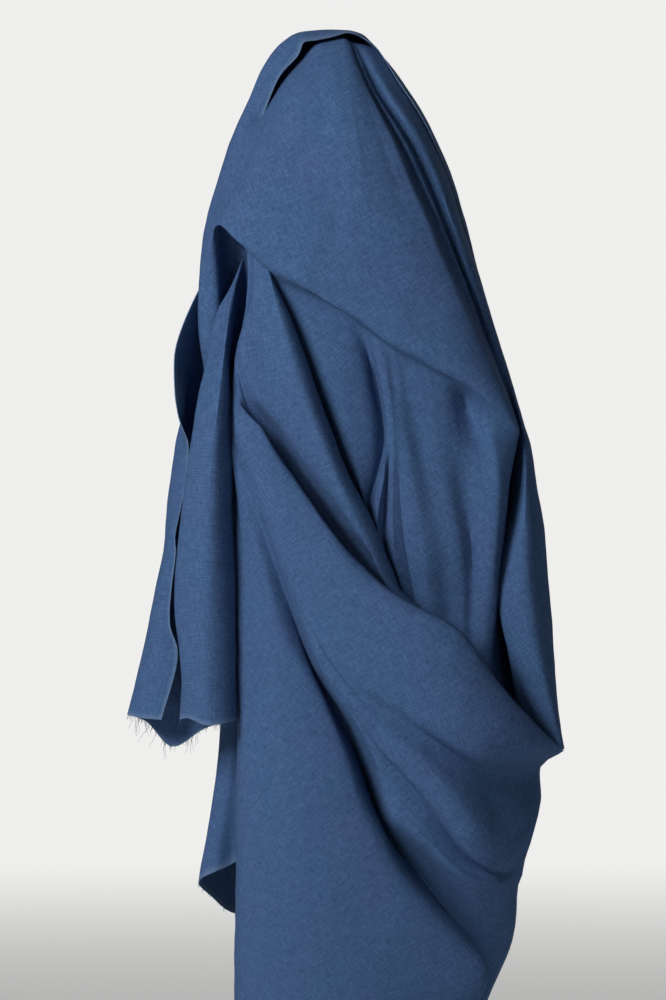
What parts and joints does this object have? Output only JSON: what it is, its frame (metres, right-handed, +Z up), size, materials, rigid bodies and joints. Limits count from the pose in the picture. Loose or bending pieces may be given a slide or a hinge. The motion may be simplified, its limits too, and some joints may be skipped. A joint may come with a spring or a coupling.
{
  "type": "hanging draped linen fabric",
  "caption": "Length of plain blue linen hung by its middle, with a hooded top, a flat front panel, a slung swag, a long front fall and a short folded tail.",
  "frame": {"origin": "hang point, just under the fold at the cloth's top", "axes": "+Z up, the front of the drape faces -Y, +X to the right seen from the front"},
  "size_m": [0.4368, 0.2519, 1.0589],
  "materials": {
    "linen": "matte washed linen"
  },
  "bodies": {
    "root": {"linen_cloth": "linen"}
  },
  "joints": []
}
